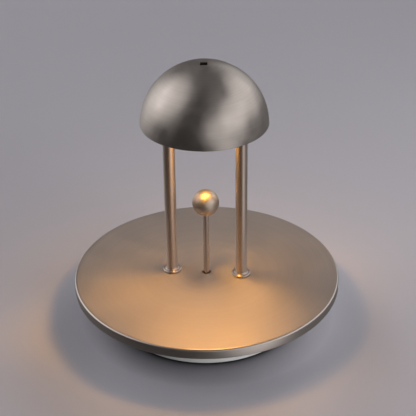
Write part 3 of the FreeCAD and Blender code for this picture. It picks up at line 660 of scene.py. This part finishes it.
def makeTray():
    tray = {"sheet": 0.0015, "edgeRound": 0.0017, "insideRound": 0.0006, "leverHole": 0.004,
            "holeBreak": 0.0003, "lipRound": 0.0003, "topRings": (0.02, 0.05, 0.085),
            "underRing": 0.06, "sides": 320}
    low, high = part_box("tray")
    radius = high.x
    edge, lip, sheet = tray["edgeRound"], tray["lipRound"], tray["sheet"]
    hole, soft = tray["leverHole"], tray["holeBreak"]
    inside = edge - sheet + tray["insideRound"]
    section = arcPoints((hole + soft, high.z - soft), soft, 180, 90, 4)
    section += [(ring, high.z) for ring in tray["topRings"]]
    section += arcPoints((radius - edge, high.z - edge), edge, 90, 0, 10)
    section += arcPoints((radius - lip, low.z + lip), lip, 0, -90, 4)
    section += arcPoints((radius - sheet + lip, low.z + lip), lip, -90, -180, 4)
    section += arcPoints((radius - sheet - inside, high.z - sheet - inside), inside, 0, 90, 6)
    section += [(tray["underRing"], high.z - sheet), (hole, high.z - sheet)]
    shape = turnedShape(section, tray["sides"])
    addPiece("trayDisc", shape, "stand", finish["tray"], ["tray"])


makeTray()


def makePosts():
    post = {"wall": 0.001, "endBreak": 0.0003, "sides": 96}
    for side in ("left", "right"):
        low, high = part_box(f"{side}_post")
        axisX, radius = axisAndRadius(low, high)
        section = barSection(radius - post["wall"], radius, low.z, high.z, post["endBreak"])
        shape = turnedShape(section, post["sides"], axisX)
        addPiece(f"{side}Post", shape, "stand", finish[f"{side}Post"],
                 [f"{side}_post"])


makePosts()


def makeCollars():
    # A round bead at the foot and a hollow flare up to the post
    collar = {"bore": 0.00527, "bead": 0.00125, "beadTurn": 118.0, "flare": 0.0034,
              "lip": 0.0003, "sides": 112}
    for side in ("left", "right"):
        low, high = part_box(f"{side}_collar")
        axisX, radius = axisAndRadius(low, high)
        bead, bore = collar["bead"], collar["bore"]
        centre = (radius - bead, low.z + bead)
        turn = math.radians(collar["beadTurn"])
        start = Vector((centre[0] + bead * math.cos(turn), centre[1] + bead * math.sin(turn)))
        end = Vector((bore + collar["lip"], high.z))
        way = end - start
        left = Vector((-way.y, way.x)).normalized()
        hollow = (start + end) / 2 - left * math.sqrt(collar["flare"] ** 2
                                                      - way.length_squared / 4)
        first = math.degrees(math.atan2(start.y - hollow.y, start.x - hollow.x)) % 360
        last = math.degrees(math.atan2(end.y - hollow.y, end.x - hollow.x)) % 360
        section = [(bore, low.z)]
        section += arcPoints(centre, bead, -90, collar["beadTurn"], 18)
        section += arcPoints(tuple(hollow), collar["flare"], first, last, 12)[1:]
        section += [(bore, high.z)]
        shape = turnedShape(section, collar["sides"], axisX)
        addPiece(f"{side}Collar", shape, "stand", finish[f"{side}Post"],
                 [f"{side}_collar"])


makeCollars()


def makeLeverTop():
    lever = {"rodRadius": 0.0028, "rodGap": 0.00002, "socketDepth": 0.004, "rodBreak": 0.0003,
             "sides": 128, "rings": 64, "rodSides": 64}
    low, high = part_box("lever_ball")
    radius = axisAndRadius(low, high)[1]
    centre = high.z - radius
    socket = lever["rodRadius"] + lever["rodGap"]
    start = -math.degrees(math.acos(socket / radius))
    section = arcPoints((0, centre), radius, start, 90, lever["rings"])
    section[-1] = (0.0, high.z)
    section += [(0.0, centre + lever["socketDepth"]), (socket, centre + lever["socketDepth"])]
    shape = turnedShape(section, lever["sides"])
    addPiece("leverBall", shape, "lever", finish["ball_metal"], ["lever_ball"])
    low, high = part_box("lever_rod")
    radius = axisAndRadius(low, high)[1]
    section = barSection(0.0, radius, low.z, high.z, lever["rodBreak"])
    shape = turnedShape(section, lever["rodSides"], closed=False)
    addPiece("leverRod", shape, "lever", finish["leverRod"], ["lever_rod"])


makeLeverTop()


def makeDiffuser():
    # Slightly domed underside, flat back
    lens = {"crown": 0.00035, "edgeRound": 0.0006, "backRound": 0.0002, "rings": 14,
            "sides": 192}
    low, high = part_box("diffuser")
    radius, edge, back = high.x, lens["edgeRound"], lens["backRound"]
    section = [(0.0, low.z)]
    for step in range(1, lens["rings"] + 1):
        reach = (radius - edge) * step / lens["rings"]
        section.append((reach, low.z + lens["crown"] * (reach / radius) ** 2))
    section += arcPoints((radius - edge, section[-1][1] + edge), edge, -90, 0, 6)[1:]
    section += arcPoints((radius - back, high.z - back), back, 0, 90, 3) + [(0.0, high.z)]
    shape = turnedShape(section, lens["sides"], closed=False)
    addPiece("diffuserLens", shape, "stand", finish["opal_lens"], ["diffuser"])


def makeFootPad():
    # Rubber pad with shallow grip grooves moulded into its underside
    pad = {"edgeRound": 0.0003, "grooves": 9, "firstGroove": 0.012, "grooveStep": 0.0078,
           "grooveWidth": 0.0016, "grooveDepth": 0.0004, "sides": 224, "smoothAngle": 50}
    low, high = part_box("foot_pad")
    radius, edge = high.x, pad["edgeRound"]
    half, depth = pad["grooveWidth"] / 2, pad["grooveDepth"]
    section = [(0.0, low.z)]
    for number in range(pad["grooves"]):
        reach = pad["firstGroove"] + number * pad["grooveStep"]
        section += [(reach - half, low.z), (reach - half / 2, low.z + depth),
                    (reach + half / 2, low.z + depth), (reach + half, low.z)]
    section += arcPoints((radius - edge, low.z + edge), edge, -90, 0, 4)
    section += arcPoints((radius - edge, high.z - edge), edge, 0, 90, 4) + [(0.0, high.z)]
    shape = turnedShape(section, pad["sides"], closed=False)
    addPiece("footPad", shape, "stand", finish["foot_rubber"], ["foot_pad"],
             pad["smoothAngle"])


makeDiffuser()
makeFootPad()
print("turned pieces made")


# Screws, one node tree that turns a screw's outline and sets it round a ring


def buildScrewRing():
    screw = {"sides": 40, "weld": 0.000002, "recessSides": 6}
    tree = bpy.data.node_groups.new("screwRing", "GeometryNodeTree")
    tree.is_modifier = True
    entries = [("Count", "NodeSocketInt"), ("Ring radius", "NodeSocketFloat"),
               ("Start angle", "NodeSocketFloat"), ("Bearing height", "NodeSocketFloat"),
               ("Head radius", "NodeSocketFloat"), ("Head height", "NodeSocketFloat"),
               ("Shank radius", "NodeSocketFloat"), ("Shank length", "NodeSocketFloat"),
               ("Recess radius", "NodeSocketFloat"), ("Recess depth", "NodeSocketFloat"),
               ("Seed", "NodeSocketInt"), ("Finish", "NodeSocketMaterial")]
    for label, kind in entries:
        tree.interface.new_socket(name=label, in_out="INPUT", socket_type=kind)
    tree.interface.new_socket(name="Geometry", in_out="OUTPUT",
                              socket_type="NodeSocketGeometry")
    make = Nodes(tree)
    given = make.add("NodeGroupInput").outputs
    # head radius, head height, shank radius and shank depth shares down the outline
    outline = [(0.0, 1.0, 0.0, 0.0), (0.36, 0.97, 0.0, 0.0), (0.64, 0.86, 0.0, 0.0),
               (0.84, 0.66, 0.0, 0.0), (0.96, 0.38, 0.0, 0.0), (1.0, 0.1, 0.0, 0.0),
               (1.0, 0.0, 0.0, 0.0), (0.0, 0.0, 1.0, 0.0), (0.0, 0.0, 1.0, 0.5),
               (0.0, 0.0, 1.0, 0.93), (0.0, 0.0, 0.78, 1.0), (0.0, 0.0, 0.0, 1.0)]
    sheet = make.add("GeometryNodeMeshGrid")
    for label, value in (("Size X", 1.0), ("Size Y", 1.0), ("Vertices X", screw["sides"] + 1),
                         ("Vertices Y", len(outline))):
        sheet.inputs[label].default_value = value
    around, along = make.split(make.add("GeometryNodeInputPosition").outputs[0])[:2]
    turn = make.maths("MULTIPLY", make.maths("ADD", around, 0.5), math.tau)
    way = make.maths("ADD", along, 0.5)

    def share(column):
        # One column of the outline as a curve over the way along it
        node = make.add("ShaderNodeFloatCurve")
        points = node.mapping.curves[0].points
        last = len(outline) - 1
        for step, entry in enumerate(outline):
            spot = (step / last, entry[column])
            if step in (0, last):
                points[0 if step == 0 else -1].location = spot
            else:
                points.new(*spot)
        for point in points:
            point.handle_type = "VECTOR"
        node.mapping.update()
        make.feed(way, node.inputs["Value"])
        return node.outputs[0]

    reach = make.weigh(share(0), given["Head radius"], share(2), given["Shank radius"])
    height = make.maths("SUBTRACT", make.maths("MULTIPLY", share(3), given["Shank length"]),
                        make.maths("MULTIPLY", share(1), given["Head height"]))
    spot = make.merge(make.maths("MULTIPLY", make.maths("COSINE", turn), reach),
                      make.maths("MULTIPLY", make.maths("SINE", turn), reach), height)
    wrap = make.add("GeometryNodeSetPosition")
    make.join(sheet.outputs["Mesh"], wrap.inputs["Geometry"])
    make.join(spot, wrap.inputs["Position"])
    weld = make.add("GeometryNodeMergeByDistance")
    weld.inputs["Distance"].default_value = screw["weld"]
    make.join(wrap.outputs[0], weld.inputs["Geometry"])
    socket = make.add("GeometryNodeMeshCylinder")
    socket.inputs["Vertices"].default_value = screw["recessSides"]
    make.join(given["Recess radius"], socket.inputs["Radius"])
    make.join(make.maths("MULTIPLY", given["Recess depth"], 2.0), socket.inputs["Depth"])
    sink = make.add("GeometryNodeTransform")
    make.join(socket.outputs["Mesh"], sink.inputs["Geometry"])
    make.join(make.merge(0.0, 0.0, make.maths("MULTIPLY", given["Head height"], -1.0)),
              sink.inputs["Translation"])
    cut = make.add("GeometryNodeMeshBoolean", operation="DIFFERENCE")
    make.join(weld.outputs[0], cut.inputs["Mesh 1"])
    make.join(sink.outputs[0], cut.inputs["Mesh 2"])
    ring = make.add("GeometryNodeMeshCircle")
    make.join(given["Count"], ring.inputs["Vertices"])
    make.join(given["Ring radius"], ring.inputs["Radius"])
    lift = make.add("GeometryNodeTransform")
    make.join(ring.outputs["Mesh"], lift.inputs["Geometry"])
    make.join(make.merge(0.0, 0.0, given["Bearing height"]), lift.inputs["Translation"])
    make.join(make.merge(0.0, 0.0, given["Start angle"]), lift.inputs["Rotation"])
    # Input 3 and output 1 are the Random Value node's float maximum and result
    chance = make.add("FunctionNodeRandomValue", data_type="FLOAT")
    chance.inputs[3].default_value = math.tau / screw["recessSides"]
    make.join(given["Seed"], chance.inputs["Seed"])
    spin = make.add("FunctionNodeEulerToRotation")
    make.join(make.merge(0.0, 0.0, chance.outputs[1]), spin.inputs[0])
    strew = make.add("GeometryNodeInstanceOnPoints")
    make.join(lift.outputs[0], strew.inputs["Points"])
    make.join(cut.outputs["Mesh"], strew.inputs["Instance"])
    make.join(spin.outputs[0], strew.inputs["Rotation"])
    real = make.add("GeometryNodeRealizeInstances")
    make.join(strew.outputs[0], real.inputs["Geometry"])
    coat = make.add("GeometryNodeSetMaterial")
    make.join(real.outputs[0], coat.inputs["Geometry"])
    make.join(given["Finish"], coat.inputs["Material"])
    end = make.add("NodeGroupOutput")
    make.join(coat.outputs[0], end.inputs[0])
    return tree


def addScrewRing(name, node, tree, values):
    # Runs the node tree once and keeps its mesh as a plain piece
    item = bpy.data.objects.new(name, bpy.data.meshes.new(name))
    bpy.context.scene.collection.objects.link(item)
    modifier = item.modifiers.new("screwRing", "NODES")
    modifier.node_group = tree
    sockets = {entry.name: entry.identifier for entry in tree.interface.items_tree
               if entry.in_out == "INPUT"}
    for label, value in values.items():
        modifier[sockets[label]] = value
    view = bpy.context.evaluated_depsgraph_get()
    mesh = bpy.data.meshes.new_from_object(item.evaluated_get(view), depsgraph=view)
    bpy.data.objects.remove(item)
    shape = bmesh.new()
    shape.from_mesh(mesh)
    bmesh.ops.dissolve_degenerate(shape, edges=shape.edges, dist=weldGap)
    bmesh.ops.recalc_face_normals(shape, faces=shape.faces)
    addPiece(name, shape, "stand", finish["screw_steel"], [node], 40)


def makeScrews():
    screw = {"headRadius": 0.0026, "headHeight": 0.0015, "shankRadius": 0.0012,
             "recessRadius": 0.0012, "recessDepth": 0.0009}
    # piece, CAD node, count, start angle, ring radius and seed
    rings = [("underplateScrews", "underplate_screws", 4, 45.0, 0.104, 3),
             ("domeScrews", "dome_screws", 3, 90.0, 0.042, 8)]
    tree = buildScrewRing()
    for name, node, count, start, ring, seed in rings:
        low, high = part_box(node)
        addScrewRing(name, node, tree, {
            "Count": count, "Ring radius": ring, "Start angle": math.radians(start),
            "Bearing height": low.z + screw["headHeight"],
            "Head radius": screw["headRadius"], "Head height": screw["headHeight"],
            "Shank radius": screw["shankRadius"],
            "Shank length": high.z - low.z - screw["headHeight"],
            "Recess radius": screw["recessRadius"], "Recess depth": screw["recessDepth"],
            "Seed": seed, "Finish": finish["screw_steel"]})


makeScrews()
print("screws made")


def addHeadLamp():
    # The warm light under the opal diffuser: a soft glow, a spill lamp and eight soft spots
    lamp = {
        "colour": (1.0, 0.49, 0.075),
        "glowPower": 0.075,
        "spillPower": 0.05,
        "spillDrop": 0.006,
        "spillSide": 0.008,
        "spillRadius": 0.012,
        "radius": 0.0205,
        "clear": 0.0006,
        "beamDrop": 0.157,
        "softness": 0.030,
        # start to the side and back, aim to the side and back, full spread, blend and power
        "beams": (
            (0.016, -0.014, 0.001, -0.076, 76.0, 0.75, 0.35),
            (-0.012, -0.002, -0.108, 0.010, 64.0, 0.95, 0.30),
            (-0.018, -0.028, 0.015, 0.023, 19.0, 0.90, 2.00),
            (-0.016, -0.016, -0.080, 0.004, 36.0, 1.00, 0.32),
            (0.012, -0.010, 0.050, -0.018, 26.0, 1.00, 0.38),
            (-0.016, -0.016, -0.105, -0.040, 36.0, 1.00, 0.62),
            (0.000, 0.016, -0.030, 0.060, 50.0, 1.00, 0.05),
            (0.012, 0.012, 0.070, 0.040, 50.0, 1.00, 0.29),
        ),
    }
    low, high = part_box("diffuser")
    start = Vector((0, 0, low.z - lamp["clear"]))

    def hang(name, kind, power):
        data = bpy.data.lights.new(name, kind)
        data.energy = power
        data.color = lamp["colour"]
        item = bpy.data.objects.new(name, data)
        item.location = start
        bpy.context.scene.collection.objects.link(item)
        return item, data

    item, data = hang("headGlow", "AREA", lamp["glowPower"])
    data.shape = "DISK"
    data.size = lamp["radius"] * 2
    item, data = hang("headSpill", "POINT", lamp["spillPower"])
    data.shadow_soft_size = lamp["spillRadius"]
    item.location += Vector((lamp["spillSide"], 0, -lamp["spillDrop"]))
    for number, beam in enumerate(lamp["beams"], 1):
        side, back, aimSide, aimBack, spread, blend, power = beam
        item, data = hang(f"headBeam{number}", "SPOT", power)
        data.spot_size = math.radians(spread)
        data.spot_blend = blend
        data.shadow_soft_size = lamp["softness"]
        item.location += Vector((side, back, 0))
        aim = Vector((aimSide - side, aimBack - back, -lamp["beamDrop"]))
        item.rotation_mode = "QUATERNION"
        item.rotation_quaternion = aim.to_track_quat("-Z", "Y")


addHeadLamp()
print("head lamp lit")
